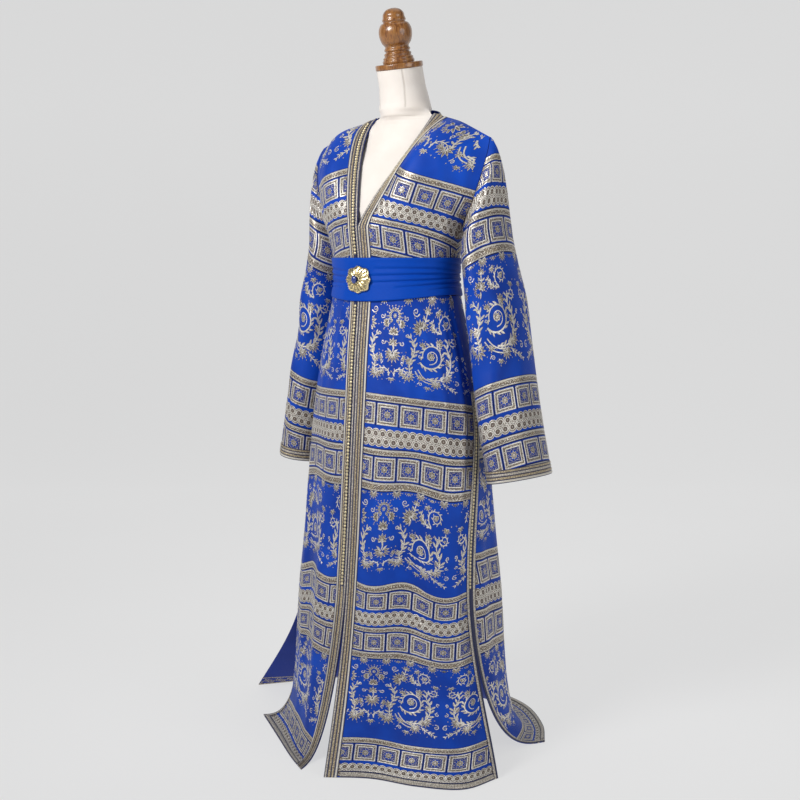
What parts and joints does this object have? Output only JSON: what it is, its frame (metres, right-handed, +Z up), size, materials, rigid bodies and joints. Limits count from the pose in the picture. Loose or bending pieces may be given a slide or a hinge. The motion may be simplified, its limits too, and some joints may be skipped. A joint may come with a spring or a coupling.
{
  "type": "kaftan on a dress form",
  "caption": "Floor-length, long-sleeved brocade kaftan with braid-edged fronts, knotted buttons and a wide draped belt with a round clasp, on a limbless padded dress form with a pole and base.",
  "frame": {"origin": "centre of the underside of the dress form's round base, on the floor", "axes": "+Z up, the front of the kaftan faces -Y, +X is the wearer's left"},
  "size_m": [0.8595, 0.6887, 1.6404],
  "materials": {
    "brocade": "silk brocade with a woven metal-thread pattern",
    "braid": "silver and gold thread braid",
    "gold_thread": "knotted gold thread",
    "satin": "pleated satin",
    "gilt": "chased gilt",
    "gem": "polished dark-blue stone",
    "canvas": "cream cotton cover",
    "turned_wood": "glossy varnish",
    "pole_paint": "satin"
  },
  "bodies": {
    "root": {"front_left": "brocade", "front_right": "brocade", "back": "brocade", "sleeve_left": "brocade", "sleeve_right": "brocade", "trim_front_left": "braid", "trim_front_right": "braid", "trim_back_neck": "braid", "trim_side_front_left": "braid", "trim_side_front_right": "braid", "trim_side_back_left": "braid", "trim_side_back_right": "braid", "trim_hem_left": "braid", "trim_hem_right": "braid", "trim_hem_back": "braid", "trim_cuff_left": "braid", "trim_cuff_right": "braid", "buttons_front_upper": "gold_thread", "buttons_front_lower": "gold_thread", "buttons_side_left": "gold_thread", "buttons_side_right": "gold_thread", "belt": "satin", "brooch": "gilt", "brooch_gem": "gem", "form_torso": "canvas", "form_cap": "turned_wood", "form_finial": "turned_wood", "form_pole": "pole_paint", "form_base": "pole_paint"}
  },
  "joints": []
}
